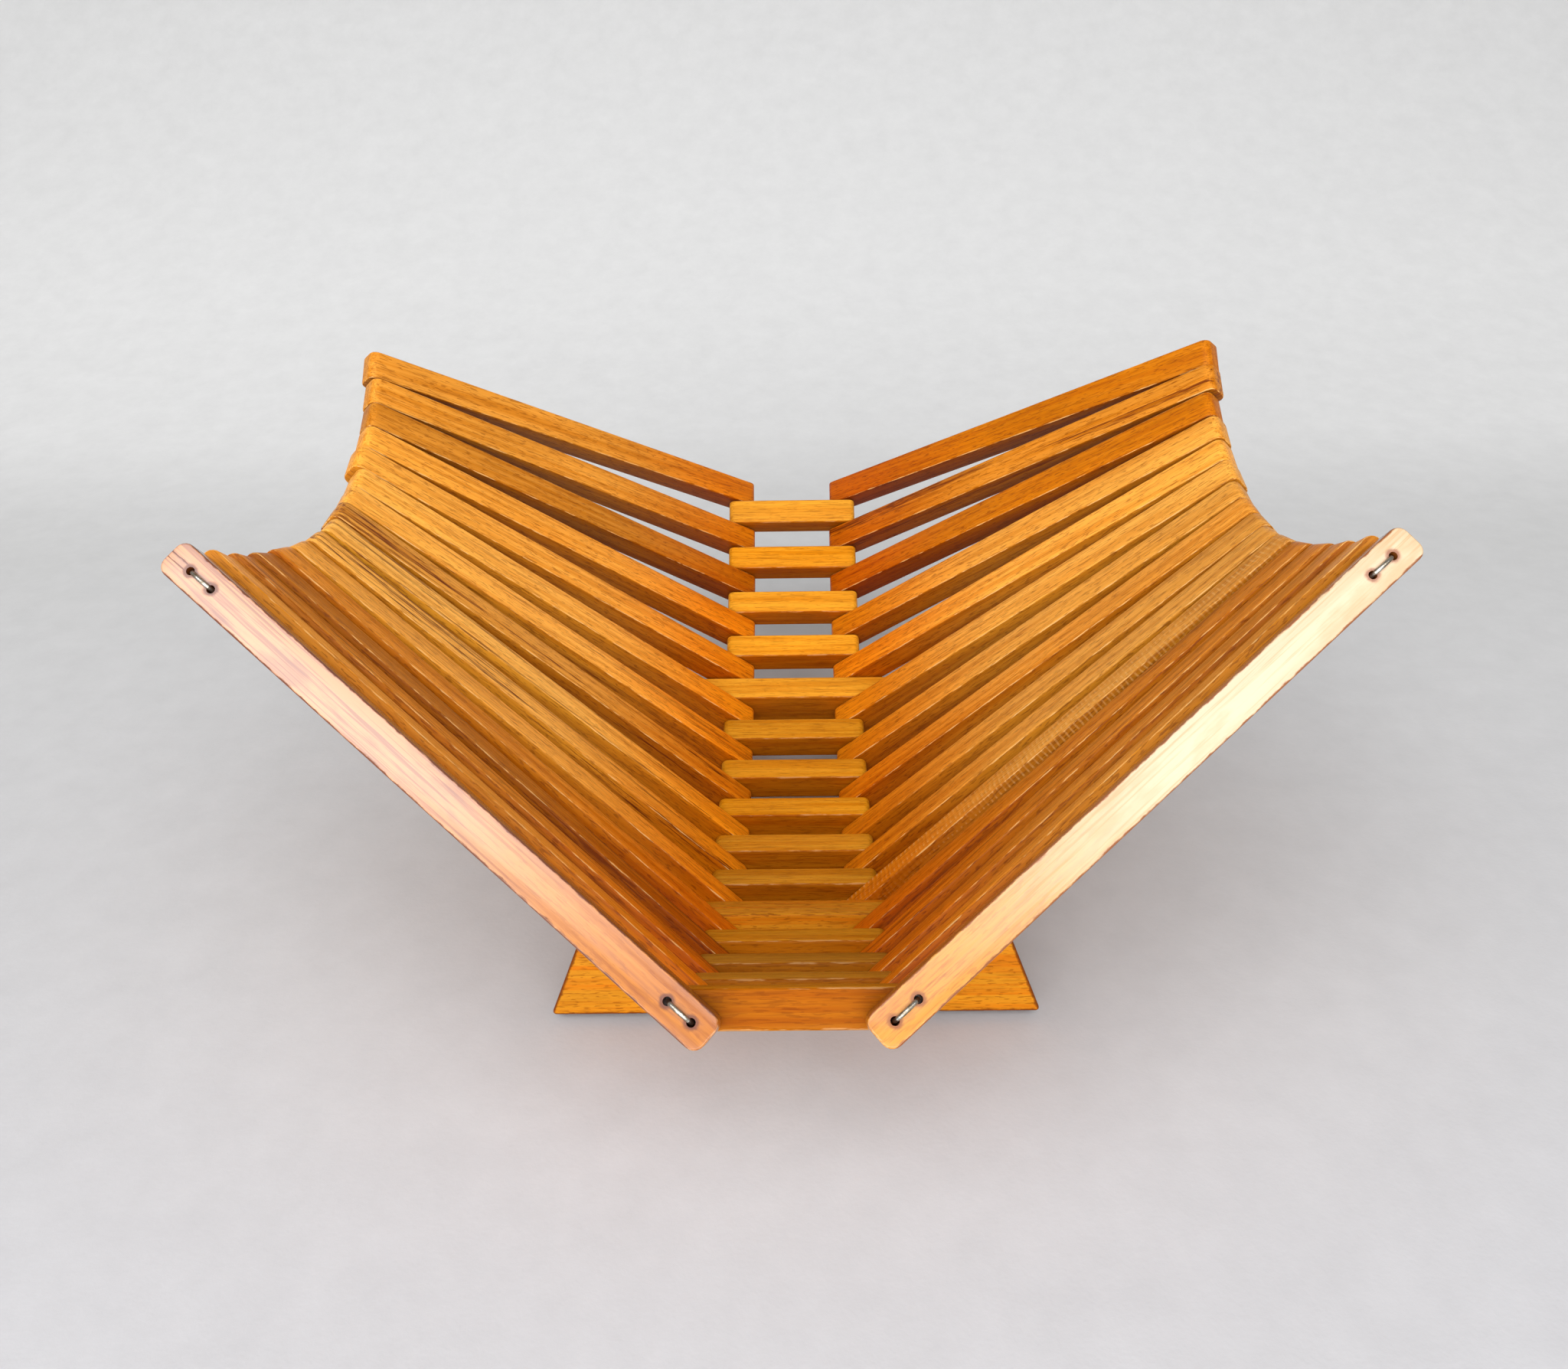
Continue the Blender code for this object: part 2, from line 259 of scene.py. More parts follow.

# %% [markdown]
# # The tone of each stick
# No two boards take lacquer alike, so each stick is a little lighter or redder than the next, and each has
# cloudy patches. The sides that face a neighbour are darkened with painted shade, the shade of the narrow
# gaps between sticks. Near the hinge the colour is deeper, painted shade at the bottom of the basket's V.
# Both are tints, multiplied over the grain so that it shows through, and masked by the position in the
# stick's own frame.

# %% Tone
# Both tints are painted shade: of the gaps between sticks, and of the V's bottom near the hinge.
SIDE_SHADE_BEGINS, SIDE_SHADE_ENDS = 4.45 * MM, 4.75 * MM  # from the middle of the thickness
LOW_END_SHADE_BEGINS, LOW_END_SHADE_ENDS = 75 * MM, 5 * MM  # from the hinge wire
SAME_HUE = 0.5  # what the hue node takes for no change
PALING = -3.5  # how fast the colour weakens as its hue turns from red to yellow


def tone(tree, colour, wood, stick, side_shade, low_end_shade):
    """The colour with the stick's own tone, its clouds and its two tints of painted shade."""
    patches = add(
        tree, "MapRange",
        {"Value": wood["cloud"], "From Min": 0.3, "From Max": 0.7, "To Min": 0.92, "To Max": 1.06},
    ).outputs[0]
    value = add(tree, "Math", {0: patches, 1: stick["own"][1]}, operation="ADD").outputs[0]
    hue = add(tree, "Math", {0: SAME_HUE, 1: stick["own"][2]}, operation="ADD").outputs[0]
    strong = add(tree, "Math", {0: stick["own"][2], 1: PALING, 2: 1}, operation="MULTIPLY_ADD").outputs[0]
    colour = add(
        tree, "HueSaturation", {"Hue": hue, "Saturation": strong, "Value": value, "Color": colour}
    ).outputs[0]
    across = add(tree, "Math", {0: stick["spot"][1]}, operation="ABSOLUTE").outputs[0]
    tints = [(across, SIDE_SHADE_BEGINS, SIDE_SHADE_ENDS, side_shade)]
    if low_end_shade:
        tints.append((stick["spot"][0], LOW_END_SHADE_BEGINS, LOW_END_SHADE_ENDS, low_end_shade))
    for place, begins, ends, tint in tints:
        mask = add(
            tree, "MapRange", {"Value": place, "From Min": begins, "From Max": ends},
            interpolation_type="SMOOTHSTEP",
        ).outputs[0]
        colour = add(
            tree, "Mix", {0: mask, 6: colour, 7: linear(tint)}, data_type="RGBA", blend_type="MULTIPLY"
        ).outputs[2]
    return colour


print("a side's tint begins", round(SIDE_SHADE_BEGINS / MM, 2), "mm from the middle")

# %% [markdown]
# # Dark stripes, knife marks and worn edges
# Some slats have long dark stripes along the fibres, darkest along the hairs of the grain. One slat shows the
# planer's knife marks, fine waves across it whose crests are rubbed pale. Where hands and neighbours rub, the
# lacquer is gone in a thin broken line along the edges, and bare wood shows. How much of each a stick has
# comes from its marks.

# %% Wear
STRIPE_COLOUR = "#6E2E04"
KNIFE_WAVES = 190  # sets the knife marks 1.6 mm apart


def wear_down(tree, colour, wood, stick, bare, wear):
    """The worn colour, and the masks of the dark stripes, the knife marks and the bare edges."""
    tear = add(
        tree, "MapRange", {"Value": wood["tear"], "From Min": 0.55, "From Max": 0.6},
        interpolation_type="SMOOTHSTEP",
    ).outputs[0]
    striped = add(tree, "Math", {0: tear, 1: stick["marks"][0]}, operation="MULTIPLY").outputs[0]
    stand = add(
        tree, "MapRange",
        {"Value": wood["hair"], "From Min": 0.42, "From Max": 0.58, "To Min": 0.35, "To Max": 1},
    ).outputs[0]
    striped = add(tree, "Math", {0: striped, 1: stand}, operation="MULTIPLY").outputs[0]
    colour = add(tree, "Mix", {0: striped, 6: colour, 7: linear(STRIPE_COLOUR)}, data_type="RGBA").outputs[2]

    knives = add(
        tree, "TexWave",
        {"Vector": stick["fibre"], "Scale": KNIFE_WAVES, "Distortion": 4, "Detail": 2, "Detail Scale": 0.6},
    ).outputs[1]
    knives = add(tree, "Math", {0: knives, 1: stick["marks"][1]}, operation="MULTIPLY").outputs[0]
    crest = add(
        tree, "MapRange", {"Value": knives, "From Min": 0.6, "From Max": 0.95, "To Max": 0.9}
    ).outputs[0]
    patchy = add(
        tree, "MapRange", {"Value": wood["tear"], "From Min": 0.45, "From Max": 0.6, "To Max": 0.4}
    ).outputs[0]
    crest = add(tree, "Math", {0: crest, 1: patchy}, operation="MULTIPLY").outputs[0]
    colour = add(tree, "Mix", {0: crest, 6: colour, 7: linear(bare)}, data_type="RGBA").outputs[2]

    reach = add(
        tree, "MapRange",
        {"Value": wood["rub"], "From Min": 0.35, "From Max": 0.65, "To Min": -0.8, "To Max": 0.25},
    ).outputs[0]
    rubbed = add(tree, "Math", {0: stick["edge"], 1: reach}, operation="ADD").outputs[0]
    bared = add(
        tree, "MapRange", {"Value": rubbed, "From Min": 0.45, "From Max": 0.9, "To Max": wear},
        interpolation_type="SMOOTHSTEP",
    ).outputs[0]
    colour = add(tree, "Mix", {0: bared, 6: colour, 7: linear(bare)}, data_type="RGBA").outputs[2]
    return colour, striped, knives, bared


print("stripes are", STRIPE_COLOUR)

# %% [markdown]
# # The finished beech
# Gloss and relief follow the same masks as the colour, which ties them together for the eye. Bare wood is
# duller than lacquer. The streaks are slightly raised, and the rays and dark stripes are sunk, by about a
# tenth of a millimetre. Three finishes come from it: the wing slats, the cross slats, which are brighter and
# less worn, and the foot board, which is a strong orange.

# %% Beech
RELIEF = 0.12 * MM


def beech(name, light, dark, fleck, bare, rays=0.3, wear=0.8, gloss=0.12, side_shade="#CCBE80", low_end_shade=None):
    """Old lacquered beech. The colours are those of the light and dark bands, the rays and bare edges.

    Two more colours tint it with painted shade: side_shade the faces beside a neighbour, low_end_shade near
    the hinge.
    """
    material, tree, shader = new_material(name)
    stick = read_stick(tree)
    wood = plank_patterns(tree, stick)
    colour, ray = grain(tree, wood, light, dark, fleck, rays)
    colour = tone(tree, colour, wood, stick, side_shade, low_end_shade)
    colour, striped, knives, bared = wear_down(tree, colour, wood, stick, bare, wear)
    tree.links.new(colour, shader.inputs["Base Color"])
    dull = add(tree, "MapRange", {"Value": wood["cloud"], "To Min": 0.32, "To Max": 0.52}).outputs[0]
    dull = add(tree, "Math", {0: bared, 1: 0.3, 2: dull}, operation="MULTIPLY_ADD").outputs[0]
    tree.links.new(dull, shader.inputs["Roughness"])
    shader.inputs["Specular IOR Level"].default_value = gloss
    relief = wood["hair"]
    for layer, height in ((ray, -0.8), (wood["streak"], 0.8), (striped, -0.8), (knives, 1.2)):
        relief = add(tree, "Math", {0: layer, 1: height, 2: relief}, operation="MULTIPLY_ADD").outputs[0]
    bump = add(tree, "Bump", {"Height": relief, "Strength": 0.5, "Distance": RELIEF}).outputs[0]
    tree.links.new(bump, shader.inputs["Normal"])
    return material, tree, shader, stick


UNTINTED = "#FFFFFF"
honey_beech, *_ = beech(
    "lacquered_beech", "#EEA440", "#D68828", "#884608", "#F0C078", rays=0.5, wear=0.65, low_end_shade="#FAD254"
)
bright_beech, *_ = beech(
    "lacquered_beech_cross", "#F8A92C", "#E48E1A", "#9C550C", "#F6C98A", wear=0.25, gloss=0.05,
    side_shade="#CCB078",
)
foot_parts = beech(
    "lacquered_beech_foot", "#FFAA2A", "#FF921C", "#B8680C", "#7A3E0E", rays=0.65, wear=0.7, gloss=0.06,
    side_shade=UNTINTED,
)
print("beech materials:", sum(m.name.find("beech") >= 0 for m in bpy.data.materials))

# %% [markdown]
# # The foot board's shaded rim
# A ragged dark line runs along the foot board's lower and slanted edges: painted shade of the rounded edges
# where they turn from the light and meet the table. The line follows how near a point is to either edge,
# which is simple arithmetic in the board's own frame. A noise added to that distance makes it ragged.

# %% Shaded rim
FOOT_LOW = -26.0 * MM  # the sole, from the middle of a cross slat's height
FOOT_HALF = 59.8 * MM  # half the board's width at that middle
FOOT_SLOPE = 0.395  # how much half the width grows with each step down
RIM_BEGINS, RIM_ENDS = 2.0 * MM, 1.3 * MM  # where the painted shade begins, and where it is full
RIM_RAGGED = 1.8 * MM  # how far the noise moves it


def shade_foot_rim(beech_parts, rim):
    """Darkens the foot board's lower and slanted edges with painted shade."""
    material, tree, shader, stick = beech_parts
    bitten = add(tree, "Mapping", {"Vector": stick["fibre"], "Scale": (260, 400, 500)}).outputs[0]
    bitten = add(tree, "TexNoise", {"Vector": bitten, "Scale": 1, "Detail": 3, "Roughness": 0.6}).outputs[0]
    x, _, z = stick["spot"]
    above = add(tree, "Math", {0: z, 1: FOOT_LOW}, operation="SUBTRACT").outputs[0]
    out = add(tree, "Math", {0: x}, operation="ABSOLUTE").outputs[0]
    reach = add(tree, "Math", {0: z, 1: -FOOT_SLOPE, 2: FOOT_HALF}, operation="MULTIPLY_ADD").outputs[0]
    inside = add(tree, "Math", {0: reach, 1: out}, operation="SUBTRACT").outputs[0]
    near = add(tree, "Math", {0: above, 1: inside}, operation="MINIMUM").outputs[0]
    near = add(tree, "Math", {0: bitten, 1: RIM_RAGGED, 2: near}, operation="MULTIPLY_ADD").outputs[0]
    dirt_and_shade = add(
        tree, "MapRange", {"Value": near, "From Min": RIM_BEGINS, "From Max": RIM_ENDS, "To Max": 0.85},
        interpolation_type="SMOOTHSTEP",
    ).outputs[0]
    under = shader.inputs["Base Color"].links[0].from_socket
    colour = add(tree, "Mix", {0: dirt_and_shade, 6: under, 7: linear(rim)}, data_type="RGBA").outputs[2]
    tree.links.new(colour, shader.inputs["Base Color"])
    return material


foot_beech = shade_foot_rim(foot_parts, "#6A2E08")
print("soiled:", foot_beech.name)

# %% [markdown]
# # The two faded slats and their painted reflection
# The front slats have been handled most. On the face that looks to the front, the lacquer has bleached and
# worn pale, and the pale skin laid over it also paints the soft box's reflection, which makes it almost
# white. The left one is pinkish with grey-pink streaks, the right one cream. Near the hinge, where the
# reflection ends, the old orange lacquer is left. So these two are the same beech with a second skin laid
# over it, masked to that one face: a mask from the depth keeps it off the other faces, and one from the
# length keeps it off the low end.

# %% Worn skin and painted reflection
# The skin is faded wood and painted reflection of the soft box in one; along the length it ends where the
# reflection ends.
FRONT_BEGINS, FRONT_ENDS = 4.4 * MM, 4.7 * MM  # from the middle of the thickness
SKIN_BEGINS, SKIN_ENDS = 24 * MM, 105 * MM  # from the hinge wire
SKIN_RAGGED = 30 * MM  # how far a noise moves these
FACE_PATTERNS = {  # how often each repeats in a metre along, through and across the slat, detail
    "ragged": ((300, 700, 700), 3), "blotch": ((45, 120, 160), 4), "line": ((26, 1000, 1200), 3)
}


def face_patterns(tree, stick):
    """The noises of a faded face: its ragged rims, its patches 20 mm long and its streaks 1 mm wide."""
    noises = {}
    for pattern, (repeats, detail) in FACE_PATTERNS.items():
        stretched = add(tree, "Mapping", {"Vector": stick["fibre"], "Scale": repeats}).outputs[0]
        noises[pattern] = add(
            tree, "TexNoise", {"Vector": stretched, "Scale": 1, "Detail": detail, "Roughness": 0.6}
        ).outputs[0]
    return noises


def worn_skin_and_painted_sheen(tree, colour, noises, stick, pale, patch):
    """The colour with the pale skin, faded wood and painted reflection, over the face that looks to the
    front.
    """
    depth = add(tree, "Math", {0: stick["spot"][1], 1: stick["marks"][2]}, operation="MULTIPLY").outputs[0]
    front = add(
        tree, "MapRange", {"Value": depth, "From Min": FRONT_BEGINS, "From Max": FRONT_ENDS},
        interpolation_type="SMOOTHSTEP",
    ).outputs[0]
    along = add(
        tree, "Math", {0: noises["blotch"], 1: SKIN_RAGGED, 2: stick["spot"][0]}, operation="MULTIPLY_ADD"
    ).outputs[0]
    along = add(
        tree, "MapRange", {"Value": along, "From Min": SKIN_BEGINS, "From Max": SKIN_ENDS, "To Min": 0.06},
        interpolation_type="SMOOTHSTEP",
    ).outputs[0]
    skin = add(tree, "Math", {0: front, 1: along}, operation="MULTIPLY").outputs[0]
    worn = linear(pale)
    for pattern, low, high, most in (("blotch", 0.5, 0.68, 0.5), ("line", 0.48, 0.62, 0.7)):
        mask = add(
            tree, "MapRange", {"Value": noises[pattern], "From Min": low, "From Max": high, "To Max": most},
            interpolation_type="SMOOTHSTEP",
        ).outputs[0]
        worn = add(tree, "Mix", {0: mask, 6: worn, 7: linear(patch)}, data_type="RGBA").outputs[2]
    return add(tree, "Mix", {0: skin, 6: colour, 7: worn}, data_type="RGBA").outputs[2]


print("the skin fades in from", round(SKIN_BEGINS / MM), "to", round(SKIN_ENDS / MM), "mm up the slat")

# %% [markdown]
# # Dirt on the faded slats
# A thin ragged dark line runs along the edges of the face, and a dark ring of dirt lies round each hole.
# There are four holes, but one ring is enough: the length is folded twice, about the middle and about each
# pair of holes, which lays the holes on one another. Two cracks run from the left slat's upper hole to its
# end.

# %% Dirt and cracks
STAPLE = 6.6 * MM  # from a wire's hole to the blind hole that its end is bent into
BORDER_BEGINS, BORDER_ENDS = 4.6 * MM, 5.0 * MM  # of the dark line, from the middle of the width
BORDER_RAGGED = 1.4 * MM  # how far the noise moves it
RING_BEGINS, RING_ENDS = 2.7 * MM, 1.8 * MM  # from the middle of a hole
RING_RAGGED = 1.2 * MM
CRACK_PLACE = 1.1 * MM  # from the middle of the width, one on each side
CRACK_BEGINS, CRACK_ENDS = 0.22 * MM, 0.08 * MM  # from the middle of a crack
CRACK_RAGGED = 0.8 * MM


def dirt_mask(tree, noises, stick, cracks):
    """Where the dark line, the rings and the cracks are."""
    x, _, z = stick["spot"]
    height = add(tree, "Math", {0: z}, operation="ABSOLUTE").outputs[0]
    ragged = add(
        tree, "Math", {0: noises["ragged"], 1: BORDER_RAGGED, 2: height}, operation="MULTIPLY_ADD"
    ).outputs[0]
    border = add(
        tree, "MapRange",
        {"Value": ragged, "From Min": BORDER_BEGINS, "From Max": BORDER_ENDS, "To Max": 0.9},
        interpolation_type="SMOOTHSTEP",
    ).outputs[0]
    folded = add(tree, "Math", {0: x, 1: TIP_WIRE / 2}, operation="SUBTRACT").outputs[0]
    for middle in ((TIP_WIRE - STAPLE) / 2, STAPLE / 2):
        folded = add(tree, "Math", {0: folded}, operation="ABSOLUTE").outputs[0]
        folded = add(tree, "Math", {0: folded, 1: middle}, operation="SUBTRACT").outputs[0]
    offset = add(tree, "CombineXYZ", {0: folded, 1: z}).outputs[0]
    away = add(tree, "VectorMath", {0: offset}, operation="LENGTH").outputs["Value"]
    away = add(
        tree, "Math", {0: noises["ragged"], 1: RING_RAGGED, 2: away}, operation="MULTIPLY_ADD"
    ).outputs[0]
    ring = add(
        tree, "MapRange", {"Value": away, "From Min": RING_BEGINS, "From Max": RING_ENDS, "To Max": 0.9},
        interpolation_type="SMOOTHSTEP",
    ).outputs[0]
    dirt_and_shade = add(tree, "Math", {0: border, 1: ring}, operation="MAXIMUM").outputs[0]
    if cracks:
        near = add(
            tree, "Math", {0: noises["ragged"], 1: CRACK_RAGGED, 2: height}, operation="MULTIPLY_ADD"
        ).outputs[0]
        near = add(tree, "Math", {0: near, 1: CRACK_PLACE}, operation="SUBTRACT").outputs[0]
        near = add(tree, "Math", {0: near}, operation="ABSOLUTE").outputs[0]
        split = add(
            tree, "MapRange",
            {"Value": near, "From Min": CRACK_BEGINS, "From Max": CRACK_ENDS, "To Max": cracks},
        ).outputs[0]
        beyond = add(tree, "Math", {0: x, 1: TIP_WIRE}, operation="GREATER_THAN").outputs[0]
        split = add(tree, "Math", {0: split, 1: beyond}, operation="MULTIPLY").outputs[0]
        dirt_and_shade = add(tree, "Math", {0: dirt_and_shade, 1: split}, operation="MAXIMUM").outputs[0]
    return dirt_and_shade


print("the bent ends span", round(STAPLE / MM, 1), "mm")

# %% [markdown]
# # The finished faded beech and its painted reflection
# The skin, faded wood and painted reflection in one, goes over the beech's own colour and the dirt over
# both. The old lacquer is left as a thin, glossy coat. It mirrors the studio's soft box as well, and with
# the painted skin makes the upper ends look almost white.

# %% Faded beech with painted reflection


def fade_with_painted_sheen(beech_parts, pale, patch, rim, cracks=0.0):
    """Lays the worn skin with its painted reflection, the dark line, rings and cracks, and a glossy coat over
    a beech.
    """
    material, tree, shader, stick = beech_parts
    noises = face_patterns(tree, stick)
    under = shader.inputs["Base Color"].links[0].from_socket
    colour = worn_skin_and_painted_sheen(tree, under, noises, stick, pale, patch)
    dirt_and_shade = dirt_mask(tree, noises, stick, cracks)
    colour = add(tree, "Mix", {0: dirt_and_shade, 6: colour, 7: linear(rim)}, data_type="RGBA").outputs[2]
    tree.links.new(colour, shader.inputs["Base Color"])
    shader.inputs["Coat Weight"].default_value = 1
    shader.inputs["Coat Roughness"].default_value = 0.22
    return material


left_parts = beech(
    "faded_beech_painted_sheen_left", "#CA8C42", "#AE702C", "#8A4A1C", "#F3C79A", wear=0.3, side_shade=UNTINTED,
    low_end_shade="#E6CE70",
)
right_parts = beech(
    "faded_beech_painted_sheen_right", "#E0B260", "#D09A48", "#A05A20", "#F6D0A0", wear=0.3, side_shade=UNTINTED,
    low_end_shade="#FFE680",
)
pink_beech = fade_with_painted_sheen(left_parts, "#C8926E", "#8A645C", "#5E2810", cracks=0.9)
cream_beech = fade_with_painted_sheen(right_parts, "#CAAE8C", "#BC9060", "#80400F")
print("faded:", pink_beech.name, cream_beech.name)

# %% [markdown]
# # Drawn steel wire
# The wires are plain drawn steel, dulled by age. Drawing leaves very fine lines along the wire, too fine to
# see here, and age leaves uneven grey-brown tarnish. A metal takes its colour from its reflection, so the
# base colour is the steel's and the tarnish changes colour and roughness together.

# %% Steel
steel, steel_tree, steel_shader = new_material("drawn_steel_wire")
place_on_wire = add(steel_tree, "TexCoord").outputs["Object"]
tarnish = add(
    steel_tree, "TexNoise", {"Vector": place_on_wire, "Scale": 900, "Detail": 3, "Roughness": 0.6}
).outputs[0]
tarnished = add(
    steel_tree, "MapRange", {"Value": tarnish, "From Min": 0.4, "From Max": 0.65},
    interpolation_type="SMOOTHSTEP",
).outputs[0]
steel_colour = add(
    steel_tree, "Mix", {0: tarnished, 6: linear("#B9B6AC"), 7: linear("#857A68")}, data_type="RGBA"
).outputs[2]
steel_dull = add(steel_tree, "MapRange", {"Value": tarnish, "To Min": 0.2, "To Max": 0.5}).outputs[0]
steel_bump = add(
    steel_tree, "Bump", {"Height": tarnish, "Strength": 0.3, "Distance": 0.05 * MM}
).outputs[0]
steel_shader.inputs["Metallic"].default_value = 1
steel_tree.links.new(steel_colour, steel_shader.inputs["Base Color"])
steel_tree.links.new(steel_dull, steel_shader.inputs["Roughness"])
steel_tree.links.new(steel_bump, steel_shader.inputs["Normal"])
print("steel has", len(steel_tree.nodes), "nodes")

# %% [markdown]
# # One blank for every stick of wood
# Each stick starts as a cube stretched to size. Two bevels make it a planed and sanded stick: the first
# rounds the four corners seen from its face, the second rounds the rims of both faces. The two ends may have
# different corners. A bevel gives true round edges that catch the light, which a painted-on highlight can't
# do from every side.

# %% Bevelled blank
CORNER_STEPS = 5
ROUND_STEPS = 4


def blank(low, high, thickness, base, top, corners, rounding, spread=0.0):
    """A stick from low to high along X and from base to top along Z. Spread widens its base.

    Corners holds the radius at the low end and at the high end.
    """
    bm = bmesh.new()
    middle = Matrix.Translation(((low + high) / 2, 0, (base + top) / 2))
    bmesh.ops.create_cube(bm, size=1, matrix=middle @ Matrix.Diagonal((high - low, thickness, top - base, 1)))
    for way in (-1, 1):
        lower = [v for v in bm.verts if v.co.z < (base + top) / 2 and way * (v.co.x - (low + high) / 2) > 0]
        bmesh.ops.translate(bm, verts=lower, vec=(way * spread, 0, 0))
    for way, corner in zip((-1, 1), corners):
        uprights = [
            e for e in bm.edges
            if abs(e.verts[0].co.y - e.verts[1].co.y) > thickness / 2
            and way * (e.verts[0].co.x - (low + high) / 2) > 0
        ]
        bmesh.ops.bevel(
            bm, geom=uprights, offset=corner, segments=CORNER_STEPS, profile=0.5, affect="EDGES", material=-1
        )
    rims = [e for e in bm.edges if abs(e.verts[0].co.y - e.verts[1].co.y) < thickness / 100]
    bmesh.ops.bevel(
        bm, geom=rims, offset=rounding, segments=ROUND_STEPS, profile=0.5, affect="EDGES", material=-1
    )
    return bm


trial = blank(0, 100 * MM, 9.6 * MM, -4.5 * MM, 4.5 * MM, (2 * MM, 1 * MM), 0.9 * MM)
print("a blank has", len(trial.verts), "points and", len(trial.faces), "faces")
trial.free()

# %% [markdown]
# # Drilled holes
# The wires run through drilled holes. A drill is a cylinder, and the Boolean modifier with its exact solver
# takes it out of the blank and leaves a clean round hole. It works on two helper objects that are removed
# again.

# %% Drill and cut
HOLE = 1.0 * MM  # radius
DRILL_SIDES = 20


def drill(bm, x, z, low, high):
    """Adds a drill along Y at x and z."""
    stand = Matrix.Translation((x, (low + high) / 2, z)) @ Matrix.Rotation(math.pi / 2, 4, "X")
    bmesh.ops.create_cone(
        bm, cap_ends=True, segments=DRILL_SIDES, radius1=HOLE, radius2=HOLE, depth=high - low, matrix=stand
    )


def cut(name, bm, drills):
    """The blank less its drills, as a mesh."""
    helpers = []
    for part_name, part in ((f"{name}_blank", bm), (f"{name}_drills", drills)):
        mesh = bpy.data.meshes.new(part_name)
        part.to_mesh(mesh)
        part.free()
        helper = bpy.data.objects.new(part_name, mesh)
        scene.collection.objects.link(helper)
        helpers.append(helper)
    holes = helpers[0].modifiers.new("holes", "BOOLEAN")
    holes.operation = "DIFFERENCE"
    holes.solver = "EXACT"
    holes.object = helpers[1]
    graph = bpy.context.evaluated_depsgraph_get()
    mesh = bpy.data.meshes.new_from_object(helpers[0].evaluated_get(graph))
    mesh.name = name
    for helper in helpers:
        bpy.data.objects.remove(helper, do_unlink=True)
    return mesh


print("a drilled hole is", round(2 * HOLE / MM, 1), "mm wide")

# %% [markdown]
# # What each stick remembers
# The four attributes are stored before a stick moves to its place, while its points are still in its own
# frame. The edge line follows from how far a point has turned round the rounding: half way round it is 1.
# Then the mesh itself is moved, and the object stays at the origin, so that patterns never slide.

# %% Attributes and placing


def remember(mesh, thickness, rounding, board, marks):
    """Stores the fibre, edge, board and marks attributes."""
    names = ("fibre", "edge", "board", "marks")
    for name in names:
        mesh.attributes.new(name, "FLOAT" if name == "edge" else "FLOAT_VECTOR", "POINT")
    fibre, edge, own, past = (mesh.attributes[name].data for name in names)
    for index, vert in enumerate(mesh.vertices):
        rise = (abs(vert.co.y) - (thickness / 2 - rounding)) / rounding
        turn = math.asin(max(0.0, min(1.0, rise)))
        fibre[index].vector = vert.co
        edge[index].value = 1 - abs(turn / math.radians(45) - 1)
        own[index].vector = board
        past[index].vector = marks


def place_piece(name, mesh, seat, material, body, node):
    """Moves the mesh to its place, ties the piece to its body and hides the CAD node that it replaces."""
    mesh.transform(seat)
    mesh.shade_smooth()
    mesh.set_sharp_from_angle(angle=math.radians(40))
    mesh.materials.clear()
    mesh.materials.append(material)
    piece = bpy.data.objects.new(name, mesh)
    scene.collection.objects.link(piece)
    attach(piece, body)
    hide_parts(node)
    return piece


rng = random.Random(11)
print("sticks are cut from the plank by a seeded chance, first", round(rng.random(), 3))

# %% [markdown]
# # The wing slats
# Each wing is sixteen straight slats. Their upper ends are slightly uneven, as they were never trimmed
# together. The outermost slats have two more, blind holes, into which the wires are bent back. Each slat
# gets its own spot of the plank and its own tone, because no two boards take lacquer alike.

# %% Wing slats
SLAT_THICKNESS = 9.6 * MM
SLAT_WIDTH = 9.0 * MM
SLAT_LOW = -5.1 * MM  # lower end, from the hinge wire
SLAT_CORNERS = (2.7 * MM, 2.65 * MM)  # at the lower and the upper end
SLAT_ROUND = 0.5 * MM
TIP_INSET = 6.8 * MM  # from the tip wire to the upper end
TIP_SHARES = {  # what each slat adds to that inset, from the front to the rear
    "left": (0, 0.06, 0.15, 0.22, 0.24, 0.16, 0.06, -0.04, 0.06, 0, -0.06, 0.18, 0, -0.04, -0.06, 0.03),
    "right": (0, 0.06, 0.12, 0.13, 0.06, 0, -0.05, 0.03, 0, -0.04, 0.05, 0, 0.03, -0.07, 0.15, 0),
}
LIGHTER = {  # how much lighter or darker each slat is than the rest
    "left": (
        0, 0.24, -0.05, -0.34, -0.03, 0.15, 0.2, 0.22,
        -0.12, 0.2, 0.15, 0.06, 0.04, -0.32, -0.16, -0.19,
    ),
    "right": (
        -0.27, 0.05, -0.14, -0.17, -0.2, -0.08, -0.05, -0.09,
        -0.06, -0.06, 0.02, 0.12, -0.04, -0.35, -0.26, -0.34,
    ),
}
YELLOWER = 0.02  # turn of a slat's hue as it gets lighter
REDDER = 0.007  # turn back, of the front slats and of the rear ones on the right
STRIPES = {"left": {3: 0.7, 4: 1, 7: 1, 8: 0.8, 9: 1, 10: 0.5}, "right": {4: 0.5, 5: 0.6, 15: 1}}
FEWEST_STRIPES = 0.08  # of all others
KNIFE_MARKS = {"left": {}, "right": {5: 0.3, 6: 1, 7: 0.35, 8: 0.3}}
BLIND_DEPTH = 5.2 * MM  # of the holes that the wires' ends are bent into


